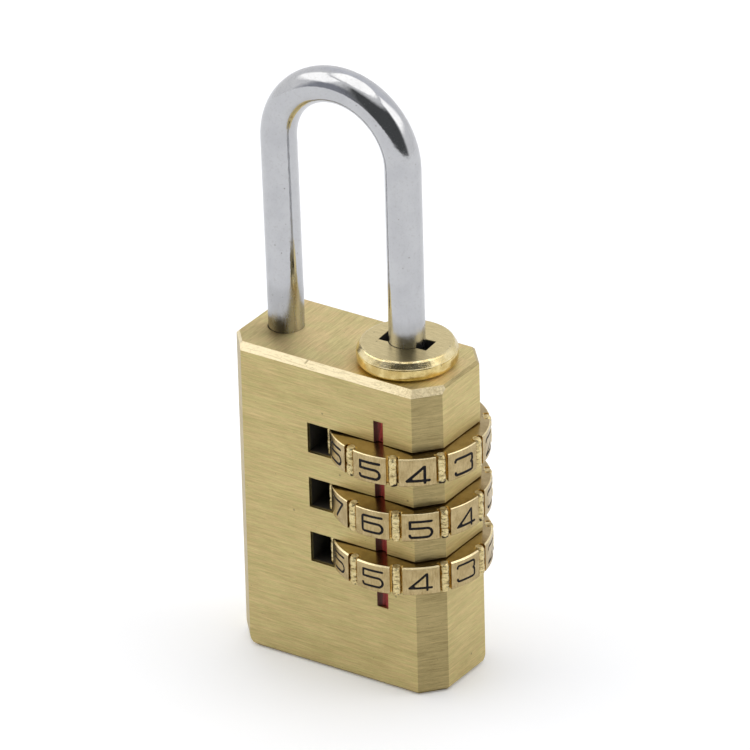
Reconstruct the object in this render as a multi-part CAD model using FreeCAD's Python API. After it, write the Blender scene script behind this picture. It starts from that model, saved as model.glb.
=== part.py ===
import FreeCAD, Part
import math
import os

# Three-dial combination padlock. Millimetres, +Z up, the front is the -Y face.
# The origin is the centre of the body's bottom face.

# Body block
BODY_W = 20.0          # along X
BODY_D = 9.5           # along Y
BODY_H = 28.0          # along Z
FACET_X = 1.72         # corner facet, reach along X
FACET_Y = 2.0          # corner facet, reach along Y
FRONT_CHAMFER = 0.55   # top edge of the front and of the facet beside the dials
TOP_CHAMFER = 0.24     # the other top edges
FOOT_CHAMFER = 0.3
FOOT_ROUND = 0.9       # rounding under three of the corner facets

# Column of dials, hubs and the long leg
COLUMN_X = 4.88
PITCH = 5.05           # from one dial slot to the next
SLOT_TOP = 22.54       # ceiling of the top slot
SLOT_H = 2.74
SLOT_END_X = -1.92     # blind left end of the slots
BORE_R = 3.55          # bore that holds the hubs
PLUG_R = 3.3
PLUG_H = 1.1

# Number dials
DIAL_R = 6.6
DIAL_H = 2.5
DIAL_SEAT = (0.03, 0.03, 0.1)  # height of each dial's foot above its slot's floor
DIAL_GAP = 0.06        # the top rises inwards to this far below the slot's ceiling
DIAL_CREST_R = 4.7
DIAL_END_GAP = 0.08    # round the dial where it enters the blind end of its slot
DIAL_BORE_R = 3.0
DIAL_EDGE = (0.07, 0.06, 0.12)  # bevel round the top of each dial
NOTCH_R = 3.52         # reach of the ten inner notches
NOTCH_W = 1.0
RIB_R = 0.41
RIB_CENTRE_R = 6.3
RIB_DENT = 0.05        # depth of the rough dents round a rib
RIB_LAYERS = 18
RIB_CHANNEL_W = 1.06
RIB_CHANNEL_R = 6.15
CLICK_NOTCH_DEPTH = 0.25
DIGITS = 10
STEP = 360.0 / DIGITS
NUMBER_DEPTH = 0.16
PAINT_SINK = 0.02      # paint lies this far below the dial's skin
GLYPH_HALF_W = 0.91
GLYPH_HALF_H = 0.715
GLYPH_BAR = 0.11       # height of the middle bar
GLYPH_LINE = (0.245, 0.225, 0.205)

# Shackle
BAR_R = 1.5
SHORT_LEG_X = -6.92
BEND_Z = 45.185          # height of the bend's centre
BEND_R = 5.99         # of the bar's centre line
SHORT_LEG_LEAN = 0.7   # degrees; the short leg stands out towards the bend
EASE_R = 100.0         # of the ease between the leaning and the upright run
SHORT_LEG_DEPTH = 4.3
SHORT_HOLE_R = 1.54
SHORT_HOLE_SHIFT = -0.03  # the leg bears against the side of its hole towards the dials
SHORT_HOLE_DEPTH = 4.8
LEG_FOOT_Z = 1.25
FIN_HALF_SPAN = 2.1
FIN_W = 1.5
FIN_H = 1.15
FIN_ANGLE = 4.3        # turn of the fins about the leg
FIN_RISE = 0.15        # fin foot above the hub's foot
RING_GROOVE_R = 1.15
RING_Z = 1.6
RING_H = 0.5
RING_R = 2.4

# Collar bush
COLLAR_R = 4.17
COLLAR_H = 1.74
COLLAR_STEP = 0.05
COLLAR_BAND_H = 1.14
RIM_BEVEL_R = 0.24     # bevel of the top rim, along the radius
RIM_BEVEL_H = 0.42
KEY_LENGTH = 4.42
KEY_W = 1.72
BUSH_CLEARANCE = 0.05
HUB_CLEARANCE = 0.1
BUSH_RECESS_H = 1.5

# Code hubs
HUB_H = 5.03
HUB_FOOT_DROP = 4.75   # hub foot below its slot's ceiling
HUB_R = 2.95
HUB_FLANGE_R = 3.47
HUB_FLANGE_H = 0.75
HUB_SLOT_SPAN = 2.2
HUB_SLOT_W = 1.7
HUB_RECESS_R = 2.3
HUB_RECESS_H = 2.9
FLANGE_GAP = 0.1       # flange top below the slot's floor
LUG_REACH = 1.2        # lug above the slot's floor
LUG_W = 0.86

# Hub spring, thrust washer, click springs
WASHER_H = 0.4
WASHER_R = 3.4
WASHER_BORE_R = 1.65
SPRING_WIRE_R = 0.2
SPRING_R = 2.95
SPRING_TURNS = 5
CLICK_X = 0.0
CLICK_POCKET_DEPTH = 0.55
CLICK_POCKET_W = 1.3
CLICK_POCKET_L = 4.2
CLICK_THICK = 0.14
CLICK_W = 1.0

# Index mark
INDEX_X = 5.02
INDEX_W = (0.94, 0.97, 1.12, 1.1)  # the groove is wider in its lower lengths
INDEX_DEPTH = 0.42
INDEX_ABOVE = 1.96     # above the top slot
INDEX_BELOW = 2.4      # below the bottom slot
INDEX_PAINT = 0.07

NAMES = ("top", "middle", "bottom")
# Number that faces the index mark on each dial, and the small play each dial is stopped with
SHOWN = (5, 6, 5)
PLAY = (2.9, 4.1, 3.6)
# Figures stand unevenly: turn in degrees and drop in millimetres, from the one facing the index
FIGURE_TURN = ((0.6, 0.2, 0.45), (0.5, 0.0, 0.25), (0.1, -0.6, -0.4))
FIGURE_DROP = ((0.12, 0.21, 0.19), (0.03, 0.17, 0.16), (0.07, 0.09, -0.01))

UP = FreeCAD.Vector(0, 0, 1)
ORIGIN = FreeCAD.Vector(0, 0, 0)
AXIS = FreeCAD.Vector(COLUMN_X, 0, 0)


def cylinder(radius, low, high, x=COLUMN_X, y=0.0):
    return Part.makeCylinder(radius, high - low, FreeCAD.Vector(x, y, low), UP)


def box(x0, x1, y0, y1, z0, z1):
    return Part.makeBox(x1 - x0, y1 - y0, z1 - z0, FreeCAD.Vector(x0, y0, z0))


def turned(points, centre=AXIS):
    """A solid of revolution about a vertical axis, from (radius, height) points."""
    loop = [FreeCAD.Vector(r, 0, z) for r, z in points]
    face = Part.Face(Part.makePolygon(loop + [loop[0]]))
    solid = face.revolve(ORIGIN, UP, 360)
    solid.translate(centre)
    return solid


def spun(shape, degrees):
    """A copy of the shape turned about the column."""
    copy = shape.copy()
    copy.rotate(AXIS, UP, degrees)
    return copy


def slot_ceiling(index):
    return SLOT_TOP - index * PITCH


def slot_floor(index):
    return slot_ceiling(index) - SLOT_H


def dial_low(index):
    return slot_floor(index) + DIAL_SEAT[index]


def hub_foot(index):
    return slot_ceiling(index) - HUB_FOOT_DROP


def outline(z):
    """The body's eight-sided plan as a wire at height z."""
    half_w = BODY_W / 2
    half_d = BODY_D / 2
    corners = []
    for sx, sy, first in ((1, 1, True), (-1, 1, False), (-1, -1, True), (1, -1, False)):
        side = FreeCAD.Vector(sx * half_w, sy * (half_d - FACET_Y), z)
        face = FreeCAD.Vector(sx * (half_w - FACET_X), sy * half_d, z)
        corners += [side, face] if first else [face, side]
    return Part.makePolygon(corners + [corners[0]])


def edge_cutter(angle, distance, size, height, up):
    """Wedge that chamfers one top (up = 1) or foot (up = -1) edge of a side facing an angle."""
    loop = [
        FreeCAD.Vector(distance - size - 1, -15, height + up),
        FreeCAD.Vector(distance + 1, -15, height + up),
        FreeCAD.Vector(distance + 1, -15, height - up * (size + 1)),
    ]
    wedge = Part.Face(Part.makePolygon(loop + [loop[0]])).extrude(FreeCAD.Vector(0, 30, 0))
    wedge.rotate(ORIGIN, UP, angle)
    return wedge


def body_blank():
    """The block with its corner facets and chamfered top and foot edges."""
    length = math.hypot(FACET_X, FACET_Y)
    facet = (BODY_W / 2 * FACET_Y + (BODY_D / 2 - FACET_Y) * FACET_X) / length
    slant = math.degrees(math.atan2(FACET_X, FACET_Y))
    sides = [(-90, BODY_D / 2), (-slant, facet), (0, BODY_W / 2), (slant, facet)]
    sides += [(90, BODY_D / 2), (180 - slant, facet), (180, BODY_W / 2), (180 + slant, facet)]
    cutters = []
    for k, (angle, distance) in enumerate(sides):
        top = FRONT_CHAMFER if k < 2 else TOP_CHAMFER
        cutters.append(edge_cutter(angle, distance, top, BODY_H, 1))
        cutters.append(edge_cutter(angle, distance, FOOT_CHAMFER, 0, -1))
    block = Part.Face(outline(0)).extrude(UP * BODY_H)
    return block.cut(cutters)


def foot_round(sx, sy):
    """Cutter that rounds the foot of one corner facet."""
    tip = 4.0
    r = FOOT_ROUND
    arc = Part.Arc(
        FreeCAD.Vector(0, tip, r),
        FreeCAD.Vector(0, tip - r + r * math.sqrt(0.5), r - r * math.sqrt(0.5)),
        FreeCAD.Vector(0, tip - r, 0),
    )
    rest = [(tip - r, -1), (tip + 2, -1), (tip + 2, r), (tip, r)]
    points = [FreeCAD.Vector(0, tip - r, 0)] + [FreeCAD.Vector(0, y, z) for y, z in rest]
    edges = [arc.toShape()] + [Part.makeLine(p, q) for p, q in zip(points, points[1:])]
    cutter = Part.Face(Part.Wire(edges)).extrude(FreeCAD.Vector(6, 0, 0))
    cutter.translate(FreeCAD.Vector(-3, -tip, 0))
    outward = math.degrees(math.atan2(sy * FACET_X, sx * FACET_Y))
    cutter.rotate(ORIGIN, UP, outward - 90)
    x = sx * (BODY_W - FACET_X) / 2
    y = sy * (BODY_D - FACET_Y) / 2
    cutter.translate(FreeCAD.Vector(x, y, 0))
    return cutter


def index_cutter(width, radius_cut, low, high):
    """Half-round bar along one length of the index groove."""
    half = width / 2
    radius = (half ** 2 + INDEX_DEPTH ** 2) / (2 * INDEX_DEPTH)
    y = -BODY_D / 2 + INDEX_DEPTH - radius
    return cylinder(radius - radius_cut, low, high, INDEX_X, y)


def index_lengths():
    """The four lengths of the groove from the top down: width, low end and high end."""
    ends = [SLOT_TOP + INDEX_ABOVE]
    for index in range(3):
        ends += [slot_ceiling(index), slot_floor(index)]
    ends.append(slot_floor(2) - INDEX_BELOW)
    return [(INDEX_W[k], ends[2 * k + 1], ends[2 * k]) for k in range(4)]


def click_pocket(index):
    floor = slot_floor(index)
    return box(
        CLICK_X - CLICK_POCKET_W / 2,
        CLICK_X + CLICK_POCKET_W / 2,
        -CLICK_POCKET_L / 2,
        CLICK_POCKET_L / 2,
        floor - CLICK_POCKET_DEPTH,
        floor + 0.5,
    )


def lock_body():
    body = body_blank()
    hole_x = SHORT_LEG_X + SHORT_HOLE_SHIFT
    cutters = [
        cylinder(BORE_R, PLUG_H, BODY_H + 1),
        cylinder(PLUG_R, -1, PLUG_H + 1),
        cylinder(SHORT_HOLE_R, BODY_H - SHORT_HOLE_DEPTH, BODY_H + 1, hole_x),
    ]
    cutters += [index_cutter(width, 0, low, high) for width, low, high in index_lengths()]
    cutters += [foot_round(sx, sy) for sx, sy in ((-1, -1), (-1, 1), (1, 1))]
    for index in range(3):
        reach = BODY_W / 2 + 1
        side = BODY_D / 2 + 1
        cutters.append(box(SLOT_END_X, reach, -side, side, slot_floor(index), slot_ceiling(index)))
        cutters.append(cylinder(RIB_CENTRE_R + RIB_R + DIAL_END_GAP, slot_floor(index), slot_ceiling(index)))
        cutters.append(click_pocket(index))
    return body.cut(cutters)


def index_mark(width, low, high):
    """Paint lining one length of the index groove."""
    lining = index_cutter(width, 0, low, high).cut(index_cutter(width, INDEX_PAINT, low - 1, high + 1))
    front = -BODY_D / 2
    keep = box(INDEX_X - 1, INDEX_X + 1, front + 0.02, front + 1, low, high)
    return lining.common(keep)


def key_slot(length, width, low, high):
    """Slot across the column, in line with the fins."""
    bar = box(
        COLUMN_X - length / 2,
        COLUMN_X + length / 2,
        -width / 2,
        width / 2,
        low,
        high,
    )
    return spun(bar, FIN_ANGLE)


def collar_bush():
    """Flanged bush pressed in the top of the bore, with a keyhole for the leg and its fins."""
    foot = hub_foot(0) + HUB_H + 0.02
    top = BODY_H + COLLAR_H
    band = BODY_H + COLLAR_BAND_H
    rim = COLLAR_R - COLLAR_STEP
    profile = [
        (0, foot),
        (BORE_R - 0.15, foot),
        (BORE_R, foot + 0.15),
        (BORE_R, BODY_H),
        (COLLAR_R - 0.28, BODY_H),
        (COLLAR_R - 0.17, BODY_H + 0.08),
        (COLLAR_R - 0.07, BODY_H + 0.2),
        (COLLAR_R - 0.02, BODY_H + 0.31),
        (COLLAR_R, BODY_H + 0.43),
        (COLLAR_R, band - 0.2),
        (COLLAR_R - 0.02, band - 0.06),
        (rim, band),
        (rim, band + 0.07),
        (rim - RIM_BEVEL_R, band + 0.07 + RIM_BEVEL_H),
        (rim - RIM_BEVEL_R - 0.07, top - 0.04),
        (rim - RIM_BEVEL_R - 0.17, top),
        (0, top),
    ]
    cutters = [
        cylinder(BAR_R + BUSH_CLEARANCE, foot - 1, top + 1),
        key_slot(KEY_LENGTH, KEY_W, foot - 1, top + 1),
        cylinder(HUB_RECESS_R, foot - 1, foot + BUSH_RECESS_H),
    ]
    return turned(profile).cut(cutters)


def base_plug():
    return cylinder(PLUG_R, 0, PLUG_H - 0.1)


def polar(cx, cz, radius, degrees):
    turn = math.radians(degrees)
    return FreeCAD.Vector(cx + radius * math.cos(turn), 0, cz + radius * math.sin(turn))


def shackle_line():
    """Centre line: up the long leg, over the bend, down the short leg that stands out a little."""
    middle = COLUMN_X - BEND_R
    low = polar(middle, BEND_Z, BEND_R, 180 + SHORT_LEG_LEAN)
    centre_x = SHORT_LEG_X - EASE_R
    ease = polar(centre_x, 0, EASE_R, SHORT_LEG_LEAN)
    run = (ease.x - low.x) / math.tan(math.radians(SHORT_LEG_LEAN))
    upright = low.z - run - ease.z
    ease_top, ease_half, ease_foot = [polar(centre_x, upright, EASE_R, SHORT_LEG_LEAN * k / 2) for k in (2, 1, 0)]
    long_foot = FreeCAD.Vector(COLUMN_X, 0, LEG_FOOT_Z)
    long_top = FreeCAD.Vector(COLUMN_X, 0, BEND_Z)
    short_foot = FreeCAD.Vector(SHORT_LEG_X, 0, BODY_H - SHORT_LEG_DEPTH)
    return Part.Wire(
        [
            Part.makeLine(long_foot, long_top),
            Part.Arc(long_top, polar(middle, BEND_Z, BEND_R, 90), low).toShape(),
            Part.makeLine(low, ease_top),
            Part.Arc(ease_top, ease_half, ease_foot).toShape(),
            Part.makeLine(ease_foot, short_foot),
        ]
    )


def shackle():
    """Bent bar with a short leg, and a long leg that carries three pairs of fins."""
    path = shackle_line()
    long_foot = path.OrderedVertexes[0].Point
    short_foot = path.OrderedVertexes[-1].Point
    section = Part.Wire([Part.makeCircle(BAR_R, long_foot, UP)])
    bar = path.makePipeShell([section], True, False)
    flat = [e for e in bar.Edges if e.BoundBox.ZLength < 0.01]
    ends = [e for e in flat if min(abs(e.BoundBox.ZMin - foot.z) for foot in (long_foot, short_foot)) < 0.01]
    bar = bar.makeChamfer(0.3, ends)
    fins = [
        key_slot(2 * FIN_HALF_SPAN, FIN_W, hub_foot(i) + FIN_RISE, hub_foot(i) + FIN_RISE + FIN_H)
        for i in range(3)
    ]
    groove = cylinder(BAR_R + 1, RING_Z, RING_Z + RING_H).cut(cylinder(RING_GROOVE_R, 0, 5))
    return bar.fuse(fins).removeSplitter().cut(groove)


def retaining_ring():
    """Open snap ring in the groove at the foot of the long leg."""
    ring = cylinder(RING_R, RING_Z + 0.02, RING_Z + RING_H - 0.02)
    ring = ring.cut(cylinder(RING_GROOVE_R, 0, 5))
    mouth = box(COLUMN_X, COLUMN_X + 4, -0.8, 0.8, 0, 5)
    return ring.cut(mouth)


def straight_stroke(start, end, line):
    """A flat face along one straight line, with round ends."""
    along = FreeCAD.Vector(end[0] - start[0], end[1] - start[1], 0).normalize()
    side = FreeCAD.Vector(-along.y, along.x, 0) * (line / 2)
    tip = along * (line / 2)
    a = FreeCAD.Vector(start[0], start[1], 0)
    b = FreeCAD.Vector(end[0], end[1], 0)
    edges = [
        Part.makeLine(a + side, b + side),
        Part.Arc(b + side, b + tip, b - side).toShape(),
        Part.makeLine(b - side, a - side),
        Part.Arc(a - side, a - tip, a + side).toShape(),
    ]
    return Part.Face(Part.Wire(edges))


def stroke(points, line):
    """A flat face following a line with round ends; items of four numbers are arcs."""
    if len(points) == 2:
        return straight_stroke(points[0], points[1], line)
    edges = []
    here = points[0]
    for item in points[1:]:
        end = item[-2:]
        start_v = FreeCAD.Vector(here[0], here[1], 0)
        end_v = FreeCAD.Vector(end[0], end[1], 0)
        if len(item) == 4:
            edges.append(Part.Arc(start_v, FreeCAD.Vector(item[0], item[1], 0), end_v).toShape())
        else:
            edges.append(Part.makeLine(start_v, end_v))
        here = end
    wire = Part.Wire(edges)
    if wire.isClosed():
        outer = Part.Face(wire.makeOffset2D(line / 2))
        inner = Part.Face(wire.makeOffset2D(-line / 2))
        return outer.cut(inner)
    return Part.Face(wire.makeOffset2D(line / 2, 0, False, False))


def corner(cx, cy, sx, sy, r):
    """Middle point of a quarter round about (cx, cy), out towards (sx, sy)."""
    k = r * math.sqrt(0.5)
    return (cx + sx * k, cy + sy * k)


def rounded_loop(x0, x1, y0, y1, r):
    """Closed outline of a rounded rectangle."""
    return [
        (x0 + r, y0),
        (x1 - r, y0),
        corner(x1 - r, y0 + r, 1, -1, r) + (x1, y0 + r),
        (x1, y1 - r),
        corner(x1 - r, y1 - r, 1, 1, r) + (x1 - r, y1),
        (x0 + r, y1),
        corner(x0 + r, y1 - r, -1, 1, r) + (x0, y1 - r),
        (x0, y0 + r),
        corner(x0 + r, y0 + r, -1, -1, r) + (x0 + r, y0),
    ]


def glyph_lines(number):
    """The strokes of one wide figure, centred on the origin."""
    a = GLYPH_HALF_W
    b = GLYPH_HALF_H
    m = GLYPH_BAR
    r = 0.2
    bowl = (b + m) / 2
    if number == 0:
        return [rounded_loop(-a, a, -b, b, 0.45)]
    if number == 1:
        return [[(-0.32, b - 0.36), (0.14, b), (0.14, -b)]]
    if number == 2:
        upper = [(-a, b - r), corner(-a + r, b - r, -1, 1, r) + (-a + r, b), (a - 0.3, b)]
        lower = [corner(a - 0.3, b - 0.3, 1, 1, 0.3) + (a, b - 0.3), (a - 0.1, 0.14), (-a, -b), (a, -b)]
        return [upper + lower]
    if number == 3:
        upper = [(-a, b - r), corner(-a + r, b - r, -1, 1, r) + (-a + r, b), (a - r, b)]
        waist = [corner(a - r, b - r, 1, 1, r) + (a, b - r), (a, 0.22), (a - 0.14, 0.06), (a, -0.12)]
        foot = [(a, -b + r), corner(a - r, -b + r, 1, -1, r) + (a - r, -b), (-a + r, -b)]
        return [upper + waist + foot + [corner(-a + r, -b + r, -1, -1, r) + (-a, -b + r)]]
    if number == 4:
        filled_corner = [(-a + 0.08, -0.5), (-a + 0.36, -0.4)]
        return [[(0.5, b), (-a, -0.52), (a, -0.52)], [(0.55, b), (0.55, -b)], filled_corner]
    if number == 5:
        head = [(a - 0.02, b), (-a + 0.04, b), (-a + 0.04, m), (a - bowl, m)]
        foot = [(a, m - bowl, a - bowl, -b), (-a + r, -b), corner(-a + r, -b + r, -1, -1, r) + (-a, -b + r)]
        return [head + foot]
    if number == 6:
        head = [(a - 0.05, b), (-a + r, b), corner(-a + r, b - r, -1, 1, r) + (-a, b - r)]
        foot = [(-a, -b + r), corner(-a + r, -b + r, -1, -1, r) + (-a + r, -b), (a - bowl, -b)]
        return [head + foot + [(a, -b + bowl, a - bowl, m)], [(a - bowl, m), (-a, m)]]
    if number == 7:
        return [[(-a, b), (a - 0.05, b), (-0.15, -b)]]
    if number == 8:
        c = a - 0.1
        q = 0.28
        left = [(-c + q, m), corner(-c + q, m + q, -1, -1, q) + (-c, m + q), (-c, b - q)]
        crown = [corner(-c + q, b - q, -1, 1, q) + (-c + q, b), (c - q, b)]
        right = [corner(c - q, b - q, 1, 1, q) + (c, b - q), (c, m + q)]
        foot = [corner(c - q, m + q, 1, -1, q) + (c - q, m)]
        return [left + crown + right + foot, rounded_loop(-a, a, -b, m, 0.35)]
    return [[tuple(-v for v in item) for item in line] for line in glyph_lines(6)]


def glyph(number, line_width):
    """One figure as a solid two millimetres tall, standing on the XY plane."""
    solids = [stroke(line, line_width).extrude(UP * 2) for line in glyph_lines(number)]
    if len(solids) == 1:
        return solids[0]
    return solids[0].fuse(solids[1:]).removeSplitter()


def number_cutters(index, deep, shallow):
    """The ten figures of a dial as curved inlays between two depths under its skin."""
    middle = dial_low(index) + DIAL_H / 2
    shell = cylinder(DIAL_R - shallow, middle - 2, middle + 2)
    shell = shell.cut(cylinder(DIAL_R - deep, middle - 3, middle + 3))
    figures = []
    for k in range(DIGITS):
        solid = glyph((SHOWN[index] - k) % DIGITS, GLYPH_LINE[index])
        solid.rotate(ORIGIN, FreeCAD.Vector(1, 0, 0), 90)
        solid.translate(FreeCAD.Vector(COLUMN_X, -DIAL_R + 1, middle - FIGURE_DROP[index][k % 3]))
        solid = spun(solid, k * STEP + PLAY[index] + FIGURE_TURN[index][k % 3])
        figures.append(solid.common(shell))
    return figures


def click_notch(index):
    """Shallow radial vee in the dial's underside."""
    low = dial_low(index)
    loop = [
        FreeCAD.Vector(COLUMN_X - 5.75, -0.45, low - 0.01),
        FreeCAD.Vector(COLUMN_X - 5.75, 0.45, low - 0.01),
        FreeCAD.Vector(COLUMN_X - 5.75, 0, low + CLICK_NOTCH_DEPTH),
    ]
    face = Part.Face(Part.makePolygon(loop + [loop[0]]))
    return face.extrude(FreeCAD.Vector(1.6, 0, 0))


def rib(index, order):
    """Rough half-round rib with a domed head; every rib has its dents at other heights."""
    low = dial_low(index)
    high = low + DIAL_H
    points = [(0, low)]
    for k in range(RIB_LAYERS + 1):
        share = k / RIB_LAYERS
        wave = math.sin(13 * share + 2.4 * order + 1.7 * index) + 0.6 * math.sin(29 * share + 5.1 * order)
        radius = RIB_R - RIB_DENT * max(0, wave) / 1.6
        head = max(0, (share - 0.88) / 0.12)
        foot = max(0, (0.08 - share) / 0.08)
        radius = radius * math.sqrt(1 - 0.45 * head * head) - 0.06 * foot
        points.append((radius, low + (high - low) * share))
    points.append((0, high))
    return turned(points, AXIS + FreeCAD.Vector(RIB_CENTRE_R, 0, 0))


def number_dial(index):
    """Ring with ten number panels parted by half-round ribs, and ten notches inside."""
    low = dial_low(index)
    high = low + DIAL_H
    crest = slot_ceiling(index) - DIAL_GAP
    edge = DIAL_EDGE[index]
    foot_edge = 0.06
    ring = turned(
        [
            (DIAL_BORE_R + 0.1, low),
            (DIAL_R - foot_edge, low),
            (DIAL_R, low + foot_edge),
            (DIAL_R, high - edge),
            (DIAL_R - edge, high),
            (DIAL_CREST_R, crest),
            (DIAL_BORE_R + 0.1, crest),
            (DIAL_BORE_R, crest - 0.1),
            (DIAL_BORE_R, low + 0.1),
        ]
    )
    channel = box(
        COLUMN_X + RIB_CHANNEL_R,
        COLUMN_X + DIAL_R + 1,
        -RIB_CHANNEL_W / 2,
        RIB_CHANNEL_W / 2,
        low - 1,
        high + 1,
    )
    notch = box(
        COLUMN_X + DIAL_BORE_R - 1,
        COLUMN_X + NOTCH_R,
        -NOTCH_W / 2,
        NOTCH_W / 2,
        low - 1,
        high + 1,
    )
    front = -90 + PLAY[index]
    between = [front + (k + 0.5) * STEP for k in range(DIGITS)]
    cutters = [spun(channel, a) for a in between]
    cutters += [spun(notch, 90 + k * STEP) for k in range(DIGITS)]
    cutters += [spun(click_notch(index), k * STEP) for k in range(DIGITS)]
    cutters += number_cutters(index, NUMBER_DEPTH, -0.2)
    dial = ring.cut(cutters)
    return dial.fuse([spun(rib(index, k), a) for k, a in enumerate(between)])


def number_paint(index):
    return Part.makeCompound(number_cutters(index, NUMBER_DEPTH, PAINT_SINK))


def code_hub(index):
    """Inner hub: slotted for the fins, open below for their play, with a lug for the dial."""
    foot = hub_foot(index)
    head = foot + HUB_H
    flange = slot_floor(index) - FLANGE_GAP
    profile = [
        (0, foot),
        (HUB_R - 0.1, foot),
        (HUB_R, foot + 0.1),
        (HUB_R, flange - HUB_FLANGE_H),
        (HUB_FLANGE_R, flange - HUB_FLANGE_H),
        (HUB_FLANGE_R, flange),
        (HUB_R, flange),
        (HUB_R, head),
        (0, head),
    ]
    lug = box(
        COLUMN_X,
        COLUMN_X + HUB_FLANGE_R + 1,
        -LUG_W / 2,
        LUG_W / 2,
        flange - 0.2,
        slot_floor(index) + LUG_REACH,
    )
    lug = spun(lug, 90).common(cylinder(HUB_FLANGE_R, foot, head))
    cutters = [
        cylinder(BAR_R + HUB_CLEARANCE, foot - 1, head + 1),
        key_slot(2 * HUB_SLOT_SPAN, HUB_SLOT_W, foot - 1, head + 1),
        cylinder(HUB_RECESS_R, foot - 1, foot + HUB_RECESS_H),
    ]
    return turned(profile).fuse(lug).removeSplitter().cut(cutters)


def washer_foot():
    return hub_foot(2) - 0.02 - WASHER_H


def thrust_washer():
    ring = cylinder(WASHER_R, washer_foot(), washer_foot() + WASHER_H)
    return ring.cut(cylinder(WASHER_BORE_R, 0, 20))


def hub_spring():
    """Coil spring between the base plug and the thrust washer."""
    low = PLUG_H - 0.1 + 0.02 + SPRING_WIRE_R
    high = washer_foot() - 0.02 - SPRING_WIRE_R
    count = SPRING_TURNS * 16
    sections = []
    for k in range(count + 1):
        turn = 2 * math.pi * k / 16
        out = FreeCAD.Vector(math.cos(turn), math.sin(turn), 0)
        centre = AXIS + out * SPRING_R + UP * (low + (high - low) * k / count)
        sections.append(Part.Wire([Part.makeCircle(SPRING_WIRE_R, centre, UP.cross(out))]))
    return Part.makeLoft(sections, True, True)


def click_spring(index):
    """Bowed leaf in the floor of a slot; its crest sits in a notch under the dial."""
    floor = slot_floor(index)
    base = floor - CLICK_POCKET_DEPTH
    half = CLICK_POCKET_L / 2 - 0.15
    crest = dial_low(index) + 0.14
    shoulder = 0.55
    rise = floor - 0.06

    def bow(drop):
        side = half - drop * 0.3
        points = [
            (-side, base + CLICK_THICK - drop),
            (-half + shoulder, base + CLICK_THICK - drop),
            (-0.62, rise - drop),
            (-0.2, crest - 0.06 - drop),
            (0, crest - drop),
            (0.2, crest - 0.06 - drop),
            (0.62, rise - drop),
            (half - shoulder, base + CLICK_THICK - drop),
            (side, base + CLICK_THICK - drop),
        ]
        return [FreeCAD.Vector(CLICK_X - CLICK_W / 2, y, z) for y, z in points]

    upper = bow(0)
    lower = bow(CLICK_THICK)
    loop = upper + lower[::-1]
    face = Part.Face(Part.makePolygon(loop + [loop[0]]))
    return face.extrude(FreeCAD.Vector(CLICK_W, 0, 0))


def save(name, shape):
    shape.exportStep("parts/" + name + ".step")


def main():
    os.makedirs("parts", exist_ok=True)
    save("lock_body", lock_body())
    save("base_plug", base_plug())
    save("collar_bush", collar_bush())
    save("shackle", shackle())
    save("retaining_ring", retaining_ring())
    save("thrust_washer", thrust_washer())
    save("hub_spring", hub_spring())
    for index, name in enumerate(NAMES):
        save("number_dial_" + name, number_dial(index))
        save("number_paint_" + name, number_paint(index))
        save("code_hub_" + name, code_hub(index))
        save("click_spring_" + name, click_spring(index))
    for name, length in zip(("upper", "high", "low", "lower"), index_lengths()):
        save("index_mark_" + name, index_mark(*length))


main()
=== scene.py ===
import math

import bpy
from mathutils import Matrix, Vector


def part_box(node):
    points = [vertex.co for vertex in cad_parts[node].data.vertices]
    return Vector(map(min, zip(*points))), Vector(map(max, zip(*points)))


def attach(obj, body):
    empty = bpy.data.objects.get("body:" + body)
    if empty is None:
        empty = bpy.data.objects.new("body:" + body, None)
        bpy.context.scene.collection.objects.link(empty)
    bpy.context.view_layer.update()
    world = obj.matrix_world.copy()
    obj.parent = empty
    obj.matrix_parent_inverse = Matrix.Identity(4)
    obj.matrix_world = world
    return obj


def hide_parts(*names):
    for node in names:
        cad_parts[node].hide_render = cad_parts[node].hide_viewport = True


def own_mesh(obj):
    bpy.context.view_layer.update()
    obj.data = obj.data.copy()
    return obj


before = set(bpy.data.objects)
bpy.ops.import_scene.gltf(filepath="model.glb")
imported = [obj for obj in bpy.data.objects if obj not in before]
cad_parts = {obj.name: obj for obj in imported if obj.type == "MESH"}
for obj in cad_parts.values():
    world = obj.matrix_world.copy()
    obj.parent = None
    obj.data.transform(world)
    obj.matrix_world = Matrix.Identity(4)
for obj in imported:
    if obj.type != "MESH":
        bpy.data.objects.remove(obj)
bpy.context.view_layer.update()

MM = 0.001

# The column of hubs and dials in metres
HUB_LOW, HUB_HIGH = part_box("code_hub_top")
COLUMN_X = (HUB_LOW[0] + HUB_HIGH[0]) / 2

# Places that the finishes follow, in millimetres on the CAD model
AXIS_X = COLUMN_X / MM
BODY_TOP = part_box("lock_body")[1][2] / MM
COLLAR_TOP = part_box("collar_bush")[1][2] / MM
COLLAR_STEP = BODY_TOP + 1.14
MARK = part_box("index_mark_upper")
INDEX_X = (MARK[0][0] + MARK[1][0]) / 2 / MM
SHORT_LEG_X = -6.92
SLOT_TOP = 22.54
PITCH = 5.05

# The body's outline, a hair inside its faces: half width, half depth, and the corner facets'
# distance from the middle with the direction that they face
OUTLINE_X = 9.99
OUTLINE_Y = 4.74
FACET_REACH = 9.36
FACET_WAY = (0.758, 0.652)

# The dials: ribs between the figures, and the degrees that each dial stands past its click
DIALS = ("top", "middle", "bottom")
FIGURES = 10
PLAY = (2.9, 4.1, 3.6)
RIB_CENTRE_R = 6.3

# The camera: degrees, then millimetres from the point that it looks at
VIEW_AZIMUTH, VIEW_ELEVATION, VIEW_ROLL = 34.09, 27.94, -1.55
VIEW_TARGET = Vector((0, 0, 20))
VIEW_DISTANCE = 750.9
VIEW_RIGHT, VIEW_UP = 1.239, 4.633
SENSOR = 36
LENS_PER_SENSOR = 12.272

# The floor in metres: a disc just under the base
FLOOR_R = 0.6
FLOOR_SIDES = 96
FLOOR_Z = -0.00002


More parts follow.
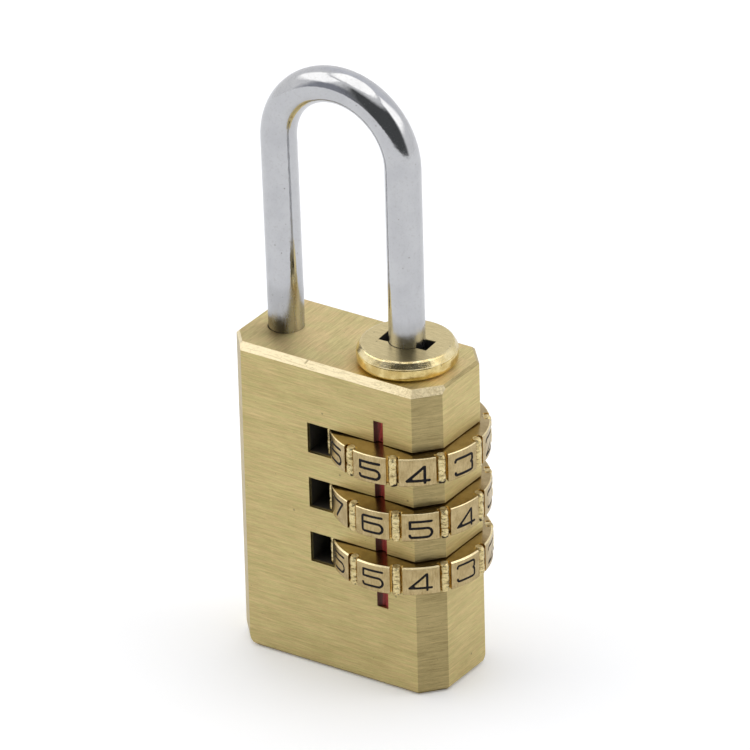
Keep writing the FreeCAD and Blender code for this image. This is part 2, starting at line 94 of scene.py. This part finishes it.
# ---------------------------------------------------------------- shader building

class Shader:
    """A node tree being built; every call returns the new node's output socket."""

    def __init__(self, name, world=False):
        self.owner = bpy.data.worlds.new(name) if world else bpy.data.materials.new(name)
        self.owner.use_nodes = True
        self.tree = self.owner.node_tree
        self.tree.nodes.clear()
        kind = "ShaderNodeOutputWorld" if world else "ShaderNodeOutputMaterial"
        self.out = self.tree.nodes.new(kind)

    def node(self, kind, inputs=None, **attrs):
        n = self.tree.nodes.new("ShaderNode" + kind)
        for key, value in attrs.items():
            setattr(n, key, value)
        for key, value in (inputs or {}).items():
            if isinstance(value, bpy.types.NodeSocket):
                self.tree.links.new(value, n.inputs[key])
            else:
                n.inputs[key].default_value = value
        return n

    def math(self, operation, a, b=0.0, c=0.0):
        return self.node("Math", {0: a, 1: b, 2: c}, operation=operation).outputs[0]

    def vec(self, operation, a, b=(0.0, 0.0, 0.0)):
        return self.node("VectorMath", {0: a, 1: b}, operation=operation).outputs[0]

    def times(self, first, *others):
        """The product of numbers and masks."""
        for value in others:
            first = self.math("MULTIPLY", first, value)
        return first

    def plus(self, base, value, weight=1.0):
        """The base with the value, times its weight, added."""
        return self.math("MULTIPLY_ADD", value, weight, base)

    def total(self, *terms):
        """The sum of values, each times its weight."""
        result = 0.0
        for value, weight in terms:
            result = self.plus(result, value, weight)
        return result

    def minus(self, a, b):
        return self.math("SUBTRACT", a, b)

    def size(self, value):
        return self.math("ABSOLUTE", value)

    def outside(self, mask):
        """The mask turned over."""
        return self.math("SUBTRACT", 1.0, mask)

    def distance(self, a, b):
        """Length of the diagonal of two sides."""
        return self.math("SQRT", self.math("ADD", self.times(a, a), self.times(b, b)))

    def ramp(self, value, low, high, to_low=0.0, to_high=1.0, smooth=True):
        """The value mapped from low..high onto to_low..to_high and held there."""
        kind = "SMOOTHSTEP" if smooth else "LINEAR"
        inputs = {0: value, 1: low, 2: high, 3: to_low, 4: to_high}
        return self.node("MapRange", inputs, interpolation_type=kind).outputs[0]

    def window(self, value, a, b, c, d):
        """One between b and c, falling to zero at a and d."""
        return self.times(self.ramp(value, a, b), self.ramp(value, c, d, 1.0, 0.0))

    def mix(self, factor, a, b):
        """A colour between a and b."""
        n = self.node("Mix", {"Factor": factor}, data_type="RGBA")
        for key, value in ((6, a), (7, b)):
            if isinstance(value, bpy.types.NodeSocket):
                self.tree.links.new(value, n.inputs[key])
            else:
                n.inputs[key].default_value = tuple(value) + (1.0,) * (4 - len(value))
        return n.outputs[2]

    def blend(self, factor, a, b):
        """A number between a and b."""
        return self.node("Mix", {"Factor": factor, 2: a, 3: b}, data_type="FLOAT").outputs[0]

    def noise(self, vector, scale=1.0, detail=3.0, rough=0.6):
        inputs = {"Vector": vector, "Scale": scale, "Detail": detail, "Roughness": rough}
        return self.node("TexNoise", inputs).outputs["Fac"]

    def bump(self, height, distance, normal=None):
        """The normal tilted by a height, with the height's full swing in metres."""
        inputs = {"Height": height, "Distance": distance, "Strength": 1.0}
        if normal is not None:
            inputs["Normal"] = normal
        return self.node("Bump", inputs).outputs[0]

    def end(self, socket):
        self.tree.links.new(socket, self.out.inputs["Surface"])
        return self.owner


class Surface(Shader):
    """A material on object coordinates in millimetres, with what the finishes share."""

    def __init__(self, name):
        super().__init__(name)
        coord = self.node("TexCoord")
        self.mm = self.vec("MULTIPLY", coord.outputs["Object"], (1 / MM,) * 3)
        self.x, self.y, self.z = self.node("SeparateXYZ", {0: self.mm}).outputs
        facing = self.node("SeparateXYZ", {0: coord.outputs["Normal"]}).outputs
        self.face_x, self.face_y, self.face_z = facing
        self.level = self.size(self.face_z)

    def stretched(self, sx, sy, sz, shift=0.0):
        """Coordinates scaled per axis, for streaks along the axis with the smallest scale."""
        scaled = self.vec("MULTIPLY", self.mm, (sx, sy, sz))
        return self.vec("ADD", scaled, (shift, shift * 0.7, shift * 1.3))

    def column(self):
        """The place right of the dials' axis, and the distance from it."""
        right = self.minus(self.x, AXIS_X)
        return right, self.distance(right, self.y)

    def specks(self, per_mm, share, size):
        """Small round dots in a share of the cells, as a mask."""
        cell = self.node("TexVoronoi", {"Vector": self.mm, "Scale": per_mm}, feature="F1")
        pick = self.node("TexWhiteNoise", {"Vector": cell.outputs["Position"]}).outputs["Value"]
        dot = self.ramp(cell.outputs["Distance"], size * 0.5, size, 1.0, 0.0)
        return self.times(self.math("LESS_THAN", pick, share), dot)

    def stained(self, colour, mask, strength, stain):
        """The colour with a stain laid over it where the mask is."""
        return self.mix(self.times(mask, strength), colour, stain)

    def metal(self, colour, roughness, normal, **more):
        inputs = {"Base Color": colour, "Metallic": 1.0, "Roughness": roughness, "Normal": normal}
        return self.node("BsdfPrincipled", {**inputs, **more}).outputs[0]

    def paint(self, colour, roughness, normal, specular):
        inputs = {"Base Color": colour, "Roughness": roughness, "Normal": normal}
        inputs["Specular IOR Level"] = specular
        return self.node("BsdfPrincipled", inputs).outputs[0]

    def edges(self, radius):
        """Normal rounded at the edges, so that they catch light."""
        return self.node("Bevel", {"Radius": radius * MM}, samples=4).outputs[0]


# ---------------------------------------------------------------- the body's brass

def brush_strokes(s, on_top):
    """Strokes of three widths, wide to fine: level on the sides, front to back on the top."""
    # scale along the strokes, scale across them, and shift
    side_widths = [(0.35, 7.5, 0.0), (0.9, 16.0, 31.0), (2.6, 30.0, 57.0)]
    top_widths = [(0.35, 6.5, 5.0), (0.9, 14.0, 17.0), (2.6, 26.0, 43.0)]
    sides = [s.stretched(along, along, over, shift) for along, over, shift in side_widths]
    tops = [s.stretched(over, along, 1.0, shift) for along, over, shift in top_widths]
    return [
        s.blend(on_top, s.noise(side, detail=2.0), s.noise(top, detail=2.0))
        for side, top in zip(sides, tops)
    ]


def bevel_colour(s, stroke, grit):
    """A pale cut, gritty and chipped towards the dials, with one nick in the front edge."""
    nick_x, nick_lean = -2.0, 0.6
    wear = s.plus(grit, s.ramp(s.x, 3.0, 8.5), 0.14)
    colour = s.mix(s.ramp(wear, 0.5, 0.8), (0.93, 0.81, 0.54), (0.66, 0.54, 0.30))
    colour = s.mix(s.ramp(stroke, 0.5, 0.66, 0.0, 0.6), colour, (0.64, 0.53, 0.30))
    line = s.math("ADD", s.x, nick_lean * BODY_TOP - nick_x)
    nick = s.ramp(s.size(s.plus(line, s.z, -nick_lean)), 0.04, 0.13, 1.0, 0.0)
    nick = s.times(nick, s.ramp(s.z, BODY_TOP - 0.34, BODY_TOP - 0.2))
    colour = s.stained(colour, nick, 0.7, (0.36, 0.29, 0.15))
    chips = s.times(s.specks(per_mm=2.2, share=0.35, size=0.16), s.ramp(s.x, 3.5, 5.5))
    return s.stained(colour, chips, 0.8, (0.42, 0.31, 0.13))


def slot_edge_shade(s, slanted, drift):
    """Mask of the painted shade above the slots, mostly on the facets beside the dials."""
    lowest = SLOT_TOP - 2 * PITCH
    highest = SLOT_TOP + PITCH - 1.09
    # rises from 0 at the top edge of each slot to 1 at the next one; 4 keeps it positive
    above = s.math("FRACT", s.math("MULTIPLY_ADD", s.z, 1 / PITCH, 4 - SLOT_TOP / PITCH))
    painted_shade_mask = s.times(s.ramp(above, 0.13, 0.0), s.ramp(s.z, lowest - 0.1, lowest))
    painted_shade_mask = s.times(painted_shade_mask, s.ramp(s.z, highest + 0.5, highest), s.blend(slanted, 0.35, 1.0))
    return s.times(painted_shade_mask, s.ramp(s.x, 4.5, 7.0), s.ramp(drift, 0.4, 0.6, 0.35, 0.8))


def body_inside(s):
    """Mask of the walls of the slots and the bore, and of the hole of the short leg."""
    half_x, half_y = s.size(s.x), s.size(s.y)
    facet = s.total((half_x, FACET_WAY[0]), (half_y, FACET_WAY[1]))
    deep = s.math("MINIMUM", s.minus(OUTLINE_X, half_x), s.minus(OUTLINE_Y, half_y))
    deep = s.math("MINIMUM", deep, s.minus(FACET_REACH, facet))
    below_bevel = s.times(s.ramp(s.z, BODY_TOP - 0.5, BODY_TOP - 0.7), s.ramp(s.z, 0.4, 0.6))
    slots = s.times(s.ramp(deep, 0.08, 0.45), below_bevel)
    left = s.ramp(s.times(s.x, -1.0), 4.9, 5.0)
    hole = s.times(left, s.ramp(s.z, BODY_TOP - 0.05, BODY_TOP - 0.15), s.ramp(deep, 0.7, 1.0))
    return s.math("MAXIMUM", slots, hole)


def body_brass():
    """Brushed brass with the facets painted darker as painted shade, freshly cut bevels, and the
    slots painted near black inside as painted shade.
    """
    s = Surface("brushed_brass")
    slanted = s.window(s.size(s.face_x), 0.4, 0.55, 0.86, 0.95)
    on_top = s.ramp(s.level, 0.8, 0.92)
    bevel = s.window(s.face_z, 0.4, 0.6, 0.8, 0.92)
    fresh = s.times(bevel, s.ramp(s.face_y, -0.25, -0.35))
    inside = body_inside(s)

    wide, mid, fine = brush_strokes(s, on_top)
    cloud = s.noise(s.stretched(0.25, 0.25, 0.6))
    grain = s.noise(s.mm, scale=13.0, detail=2.0)
    drift = s.noise(s.stretched(0.5, 0.5, 5.0, 71.0), rough=0.7)
    grit = s.noise(s.stretched(1.0, 1.0, 1.0, 23.0), scale=5.0, detail=4.0, rough=0.75)

    tone = s.total((fine, 0.5), (mid, 0.8), (wide, 0.9), (grain, 0.35), (cloud, 0.5))
    share = s.ramp(tone, 1.1, 1.95, smooth=False)
    colour = s.mix(share, (0.49, 0.388, 0.163), (0.785, 0.652, 0.312))
    tint = s.mix(s.ramp(drift, 0.35, 0.65), (0.97, 1.01, 0.97), (1.03, 0.99, 1.02))
    colour = s.vec("MULTIPLY", colour, tint)
    # the corner facets get a darker colour of their own: painted shade
    share = s.ramp(tone, 1.2, 1.85, smooth=False)
    shaded_facet_colour = s.mix(share, (0.355, 0.28, 0.122), (0.64, 0.515, 0.247))
    colour = s.mix(slanted, colour, shaded_facet_colour)
    colour = s.mix(fresh, colour, bevel_colour(s, mid, grit))
    # a dark band just above the top edge of each slot: painted shade
    colour = s.mix(slot_edge_shade(s, slanted, drift), colour, (0.12, 0.085, 0.035))
    pits = s.specks(per_mm=0.55, share=0.4, size=0.075)
    dust = s.specks(per_mm=2.1, share=0.12, size=0.12)
    colour = s.stained(colour, s.math("MAXIMUM", pits, dust), 0.5, (0.13, 0.10, 0.05))
    top_light = s.times(on_top, s.ramp(s.z, BODY_TOP - 0.3, BODY_TOP - 0.1))
    colour = s.mix(top_light, colour, s.vec("MULTIPLY", colour, (1.17, 1.18, 1.28)))
    # the walls inside the slots, the bore and the short leg's hole are painted near black and matt:
    # painted shade
    colour = s.mix(inside, colour, (0.042, 0.039, 0.034))

    rough = s.blend(on_top, s.ramp(mid, 0.3, 0.7, 0.35, 0.43), 0.5)
    rough = s.blend(fresh, rough, 0.4)
    rough = s.blend(inside, rough, 0.85)
    normal = s.bump(wide, 5e-6, s.edges(0.03))
    normal = s.bump(mid, 3e-6, normal)
    normal = s.bump(s.times(grit, fresh), 1.6e-5, normal)
    # the light spreads across the strokes: along z on the sides, along x on the top
    spread = s.node("CombineXYZ", {0: on_top, 2: s.outside(on_top)}).outputs[0]
    more = {"Metallic": s.outside(inside), "Tangent": spread, "Anisotropic": 0.85}
    return s.end(s.metal(colour, rough, normal, **more))


# ---------------------------------------------------------------- the other finishes

def bush_brass():
    """Turned brass: satin on top, a bitten rim, a polished band below the step."""
    s = Surface("turned_brass")
    right, radius = s.column()
    rings = s.node("CombineXYZ", {0: s.times(radius, 9.0)}).outputs[0]
    lathe = s.noise(rings, detail=2.0)
    brush = s.noise(s.stretched(1.2, 9.0, 1.0))
    cloud = s.noise(s.mm, scale=0.9)
    grain = s.noise(s.mm, scale=11.0, rough=0.7)
    bite = s.noise(s.stretched(0.6, 0.6, 2.4, 9.0), scale=3.2, detail=4.0, rough=0.7)

    flat = s.ramp(s.level, 0.93, 0.99)
    above = s.ramp(s.z, COLLAR_STEP - 0.03, COLLAR_STEP + 0.03)
    rim = s.times(above, s.outside(flat))
    shaded_bore = s.ramp(s.z, COLLAR_TOP - 0.02, COLLAR_TOP - 0.12)
    shaded_bore = s.times(shaded_bore, s.ramp(radius, 2.6, 2.4))

    tone = s.ramp(s.total((grain, 0.5), (brush, 0.6)), 0.35, 0.75)
    satin = s.mix(tone, (0.58, 0.475, 0.235), (0.78, 0.65, 0.345))
    patch = s.ramp(cloud, 0.35, 0.65)
    band = s.mix(patch, (0.58, 0.42, 0.15), (0.82, 0.66, 0.30))
    rim_highlight_colour = s.mix(patch, (0.74, 0.60, 0.30), (0.93, 0.80, 0.47))
    colour = s.mix(above, band, satin)
    # the rim's front right half is painted lighter as a painted highlight, and the rim is bitten in
    # one stretch
    toward = s.math("DIVIDE", s.total((s.y, -0.854), (right, 0.52)), radius)
    colour = s.mix(s.times(rim, s.ramp(toward, 0.1, 0.5)), colour, rim_highlight_colour)
    bitten = s.times(rim, s.ramp(s.plus(toward, bite, 0.1), 0.94, 1.03, 0.08, 1.0))
    marks = s.times(s.ramp(bite, 0.5, 0.64), bitten)
    colour = s.stained(colour, marks, 0.45, (0.27, 0.2, 0.085))
    # the bore round the long leg, just under the top, is painted near black and matt: painted shade
    colour = s.mix(shaded_bore, colour, (0.03, 0.028, 0.026))
    pits = s.specks(per_mm=0.9, share=0.3, size=0.09)
    colour = s.stained(colour, pits, 0.5, (0.10, 0.07, 0.03))

    rough = s.blend(flat, s.blend(above, 0.17, 0.2), 0.33)
    rough = s.blend(shaded_bore, rough, 0.85)
    normal = s.bump(lathe, 1.2e-6, s.edges(0.04))
    normal = s.bump(grain, 3e-6, normal)
    normal = s.bump(s.times(bite, bitten), 2.8e-5, normal)
    normal = s.bump(s.times(cloud, s.outside(flat)), 3.5e-5, normal)
    return s.end(s.metal(colour, rough, normal, Metallic=s.outside(shaded_bore)))


def rib_masks(s, right, radius, flat, play):
    """Masks of a dial's ribs and of the channels beside them."""
    step = math.tau / FIGURES
    turn = s.math("ARCTAN2", right, s.times(s.y, -1.0))
    # counts the ribs round the dial; adding the whole number keeps it positive
    count = s.math("MULTIPLY_ADD", turn, 1 / step, FIGURES - math.radians(play) / step)
    off = s.times(s.minus(s.math("FRACT", count), 0.5), step)
    across = s.times(radius, s.math("SINE", off))
    out = s.math("MULTIPLY_ADD", radius, s.math("COSINE", off), -RIB_CENTRE_R)
    reach = s.distance(across, out)
    rib = s.ramp(reach, s.blend(flat, 0.42, 0.3), s.blend(flat, 0.435, 0.33), 1.0, 0.0)
    channel = s.times(s.ramp(s.size(across), 0.525, 0.54, 1.0, 0.0), s.ramp(out, -0.25, -0.21))
    return rib, s.times(channel, s.outside(rib))


def rib_colour(s, cloud, dents, flat):
    """Pale cast brass with dark dents on the sides, painted highlights in the hollows of the dents,
    and rough light heads.
    """
    colour = s.mix(s.ramp(cloud, 0.35, 0.65), (0.68, 0.54, 0.25), (0.82, 0.68, 0.35))
    sides = s.times(s.ramp(dents, 0.53, 0.64, 0.0, 0.8), s.outside(flat))
    colour = s.mix(sides, colour, (0.24, 0.17, 0.075))
    # near-white spots in the hollows of the dents: painted highlights
    colour = s.mix(s.ramp(dents, 0.45, 0.36, 0.0, 0.5), colour, (0.95, 0.84, 0.5))
    head = s.mix(s.ramp(dents, 0.4, 0.6), (0.90, 0.78, 0.48), (0.60, 0.47, 0.23))
    return s.mix(flat, colour, head)


def dial_brass(name, index):
    """Dial: pale panels with upright grain, a smooth dark top, and rough cast ribs."""
    s = Surface("dial_brass_" + name)
    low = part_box("number_dial_" + name)[0][2] / MM
    shift = 13.0 * index
    right, radius = s.column()
    flat = s.ramp(s.level, 0.9, 0.98)
    rib, channel = rib_masks(s, right, radius, flat, PLAY[index])
    slope = s.times(s.window(s.level, 0.45, 0.6, 0.85, 0.95), s.ramp(radius, 6.25, 6.35))

    grain = s.noise(s.stretched(11.0, 11.0, 1.6, shift), rough=0.65)
    cloud = s.noise(s.stretched(1.0, 1.0, 1.0, shift), scale=1.1)
    speck = s.noise(s.mm, scale=9.0, rough=0.7)
    dents = s.noise(s.stretched(1.3, 1.3, 3.2, shift), scale=1.5, detail=4.0)

    tone = s.total((grain, 0.75), (speck, 0.45), (cloud, 0.7))
    panel = s.mix(s.ramp(tone, 0.7, 1.2), (0.38, 0.28, 0.125), (0.58, 0.455, 0.24))
    top = s.mix(s.ramp(cloud, 0.3, 0.7), (0.385, 0.285, 0.13), (0.485, 0.37, 0.185))
    colour = s.mix(flat, panel, top)
    # the panels' bevels are pale in worn patches and painted lighter where they face up: partly
    # wear, partly painted highlight
    bevel_wear_and_highlight = s.mix(s.ramp(s.face_z, 0.0, 0.3), (0.55, 0.46, 0.27), (0.90, 0.76, 0.45))
    colour = s.mix(s.times(slope, s.ramp(speck, 0.3, 0.55, 0.6, 1.0)), colour, bevel_wear_and_highlight)
    colour = s.mix(channel, colour, (0.66, 0.44, 0.13))
    colour = s.mix(rib, colour, rib_colour(s, cloud, dents, flat))
    pits = s.specks(per_mm=1.1, share=0.35, size=0.09)
    colour = s.stained(colour, pits, 0.55, (0.12, 0.085, 0.04))
    # painted shade at the foot of some ribs, near the dial's bottom face
    foot = s.times(s.ramp(s.z, low + 0.5, low + 0.15), s.math("MAXIMUM", channel, rib))
    colour = s.mix(s.times(foot, s.ramp(cloud, 0.52, 0.58)), colour, (0.03, 0.02, 0.015))

    rough = s.blend(rib, s.blend(flat, 0.27, 0.24), s.blend(flat, 0.26, 0.6))
    normal = s.bump(grain, 2e-6, s.edges(0.03))
    normal = s.bump(speck, 4e-6, normal)
    normal = s.bump(s.times(dents, rib), 1e-4, normal)
    return s.end(s.metal(colour, rough, normal))


def chrome():
    """Bright plated steel with a faint haze, tiny pits and rub marks."""
    s = Surface("plated_steel")
    cloud = s.noise(s.mm, scale=0.5)
    haze = s.noise(s.stretched(2.0, 2.0, 0.6), detail=4.0, rough=0.7)
    fine = s.noise(s.mm, scale=5.0, rough=0.7)
    colour = s.mix(s.ramp(cloud, 0.3, 0.7), (0.525, 0.53, 0.545), (0.58, 0.585, 0.595))
    colour = s.mix(s.ramp(fine, 0.52, 0.7, 0.0, 0.45), colour, (0.43, 0.42, 0.42))
    small_pits = s.specks(per_mm=0.7, share=0.25, size=0.09)
    flecks = s.specks(per_mm=2.0, share=0.08, size=0.14)
    colour = s.stained(colour, s.math("MAXIMUM", small_pits, flecks), 0.75, (0.16, 0.14, 0.12))
    # the plating is dull and scuffed where the legs run in their holes
    scuff = s.ramp(s.plus(s.z, fine, 3.0), BODY_TOP + 7.0, BODY_TOP + 4.6)
    smear = s.ramp(s.plus(s.z, haze, 3.0), BODY_TOP + 6.2, BODY_TOP + 4.6)
    colour = s.stained(colour, smear, 0.3, (0.30, 0.295, 0.29))
    # painted dark reflection at the foot of the short leg, on its front left
    leg_x = s.minus(s.x, SHORT_LEG_X)
    around = s.ramp(s.total((s.y, 0.56), (leg_x, 0.83)), 0.3, -0.3)
    this_leg = s.ramp(s.size(leg_x), 1.8, 1.7)
    painted_dark_reflection = s.ramp(s.plus(s.z, haze, 2.0), BODY_TOP + 2.8, BODY_TOP + 1.8)
    colour = s.stained(colour, s.times(around, this_leg, painted_dark_reflection), 0.75, (0.10, 0.085, 0.06))
    rough = s.plus(s.ramp(haze, 0.35, 0.7, 0.06, 0.14), scuff, 0.15)
    normal = s.bump(cloud, 2e-5, s.bump(fine, 2.2e-6))
    return s.end(s.metal(colour, rough, normal))


def plain_metal(name, colour, dark):
    """Turned or drawn metal for the pieces inside."""
    s = Surface(name)
    grain = s.noise(s.stretched(1.0, 1.0, 8.0))
    tone = s.mix(s.ramp(grain, 0.3, 0.7), dark, colour)
    return s.end(s.metal(tone, s.ramp(grain, 0.3, 0.7, 0.3, 0.4), s.bump(grain, 2e-6)))


def black_paint():
    """Black filler in the engraved figures, thin and patchy in places."""
    s = Surface("black_paint")
    patch = s.noise(s.mm, scale=5.0, detail=4.0, rough=0.7)
    colour = s.mix(s.ramp(patch, 0.5, 0.8), (0.008, 0.007, 0.009), (0.05, 0.04, 0.03))
    rough = s.ramp(patch, 0.3, 0.7, 0.6, 0.8)
    return s.end(s.paint(colour, rough, s.bump(patch, 1.5e-5), specular=0.2))


def red_paint():
    """Worn dark red paint with darker strokes along the groove."""
    s = Surface("red_paint")
    stroke = s.noise(s.stretched(7.0, 7.0, 0.6))
    blot = s.noise(s.mm, scale=2.2)
    colour = s.mix(s.ramp(stroke, 0.35, 0.65), (0.27, 0.03, 0.025), (0.58, 0.075, 0.065))
    shade = s.ramp(s.plus(s.x, blot, 0.4), INDEX_X - 0.1, INDEX_X + 0.16)
    colour = s.mix(shade, (0.12, 0.042, 0.032), colour)
    colour = s.mix(s.ramp(blot, 0.56, 0.72, 0.0, 0.7), colour, (0.03, 0.006, 0.006))
    rough = s.ramp(blot, 0.3, 0.7, 0.4, 0.55)
    return s.end(s.paint(colour, rough, s.bump(stroke, 2e-5), specular=0.3))


# ---------------------------------------------------------------- the object

def paint_nodes():
    """Gives every CAD node its finish."""
    body = body_brass()
    steel = plain_metal("spring_steel", (0.42, 0.42, 0.43), (0.26, 0.26, 0.27))
    hub = plain_metal("hub_brass", (0.66, 0.52, 0.24), (0.48, 0.37, 0.16))
    black = black_paint()
    red = red_paint()
    finish = {"lock_body": body, "base_plug": body, "collar_bush": bush_brass(), "shackle": chrome()}
    for name in ("retaining_ring", "thrust_washer", "hub_spring"):
        finish[name] = steel
    for index, name in enumerate(DIALS):
        finish["number_dial_" + name] = dial_brass(name, index)
        finish["number_paint_" + name] = black
        finish["code_hub_" + name] = hub
        finish["click_spring_" + name] = steel
    for name in ("upper", "high", "low", "lower"):
        finish["index_mark_" + name] = red
    for name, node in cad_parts.items():
        node.data.materials.clear()
        node.data.materials.append(finish[name])


def hub_spring():
    """The hub spring as a piece of its own, carried with the lock body."""
    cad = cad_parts["hub_spring"]
    piece = bpy.data.objects.new("hub_spring_coils", cad.data.copy())
    piece.matrix_world = cad.matrix_world.copy()
    bpy.context.collection.objects.link(piece)
    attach(piece, "lock_body")
    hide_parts("hub_spring")
    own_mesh(piece)


# ---------------------------------------------------------------- studio

def studio_world():
    """White room seen by the metal: a dark camera side, two side soft boxes and one overhead."""
    s = Shader("studio", world=True)
    way = s.node("SeparateXYZ", {0: s.node("TexCoord").outputs["Generated"]})
    x, y, z = way.outputs
    # degrees to the right of the front, and degrees up
    azimuth = s.times(s.math("ARCTAN2", x, s.times(y, -1.0)), math.degrees(1))
    height = s.times(s.math("ARCSINE", z), math.degrees(1))
    dark = s.times(s.window(azimuth, -30, -8, 78, 95), s.window(height, -9, -1, 45, 63))
    dim = s.times(s.window(azimuth, -54, -38, -20, -10), s.window(height, -9, -1, 20, 36))
    left = s.times(s.window(azimuth, -104, -92, -40, -33), s.window(height, 19, 28, 53, 55))
    right = s.times(s.window(azimuth, 86, 98, 128, 142), s.window(height, 16, 30, 59, 61))
    # the box overhead starts higher up at 55 degrees to the right, and lower opposite
    turned = s.math("COSINE", s.math("MULTIPLY_ADD", azimuth, math.radians(1), math.radians(-55)))
    above = s.ramp(s.plus(s.minus(height, 62.0), turned, -6.0), -1.0, 2.5)
    behind = s.times(s.ramp(s.size(azimuth), 100, 150), s.ramp(height, 0, 40))
    glow = s.mix(behind, (0.89, 0.89, 0.90), (0.80, 0.81, 0.86))
    glow = s.mix(dim, glow, (0.32, 0.33, 0.37))
    glow = s.mix(dark, glow, (0.085, 0.088, 0.09))
    boxes = s.math("MAXIMUM", s.math("MAXIMUM", left, right), above)
    glow = s.mix(boxes, glow, (1.75, 1.73, 1.70))
    seen = s.node("LightPath").outputs["Is Camera Ray"]
    glow = s.mix(seen, glow, (1.0, 1.0, 1.0))
    return s.end(s.node("Background", {"Color": glow, "Strength": 1.0}).outputs[0])


def floor():
    """White disc that glows a little for the camera, so that it fades into the room."""
    turns = [math.tau * k / FLOOR_SIDES for k in range(FLOOR_SIDES)]
    ring = [(FLOOR_R * math.cos(turn), FLOOR_R * math.sin(turn), FLOOR_Z) for turn in turns]
    mesh = bpy.data.meshes.new("studio_floor")
    mesh.from_pydata(ring, [], [list(range(FLOOR_SIDES))])
    obj = bpy.data.objects.new("studio_floor", mesh)
    bpy.context.collection.objects.link(obj)
    s = Surface("floor_white")
    cloud = s.noise(s.mm, scale=0.02, detail=2.0, rough=0.5)
    tone = s.mix(cloud, (0.915, 0.925, 0.945), (0.935, 0.945, 0.965))
    inputs = {"Base Color": tone, "Roughness": 0.8, "Emission Color": (1.0, 1.0, 1.0, 1.0)}
    inputs["Emission Strength"] = s.times(s.node("LightPath").outputs["Is Camera Ray"], 0.15)
    mesh.materials.append(s.end(s.node("BsdfPrincipled", inputs).outputs[0]))


def camera():
    """Long lens from the front right, a little above."""
    azimuth, elevation, roll = (math.radians(v) for v in (VIEW_AZIMUTH, VIEW_ELEVATION, VIEW_ROLL))
    away = math.cos(elevation)
    back = Vector((math.sin(azimuth) * away, -math.cos(azimuth) * away, math.sin(elevation)))
    right = Vector((0, 0, 1)).cross(back).normalized()
    up = back.cross(right)
    across = right * math.cos(roll) + up * math.sin(roll)
    upright = up * math.cos(roll) - right * math.sin(roll)
    place = VIEW_TARGET + back * VIEW_DISTANCE + across * VIEW_RIGHT + upright * VIEW_UP
    data = bpy.data.cameras.new("camera")
    data.sensor_width = SENSOR
    data.lens = LENS_PER_SENSOR * SENSOR
    data.clip_start, data.clip_end = 0.05, 20
    obj = bpy.data.objects.new("camera", data)
    turn = Matrix((across, upright, back)).transposed().to_4x4()
    obj.matrix_world = Matrix.Translation(place * MM) @ turn
    bpy.context.collection.objects.link(obj)
    bpy.context.scene.camera = obj


paint_nodes()
hub_spring()
floor()
camera()
scene = bpy.context.scene
scene.world = studio_world()
scene.view_settings.view_transform = "Standard"
scene.cycles.max_bounces = 8
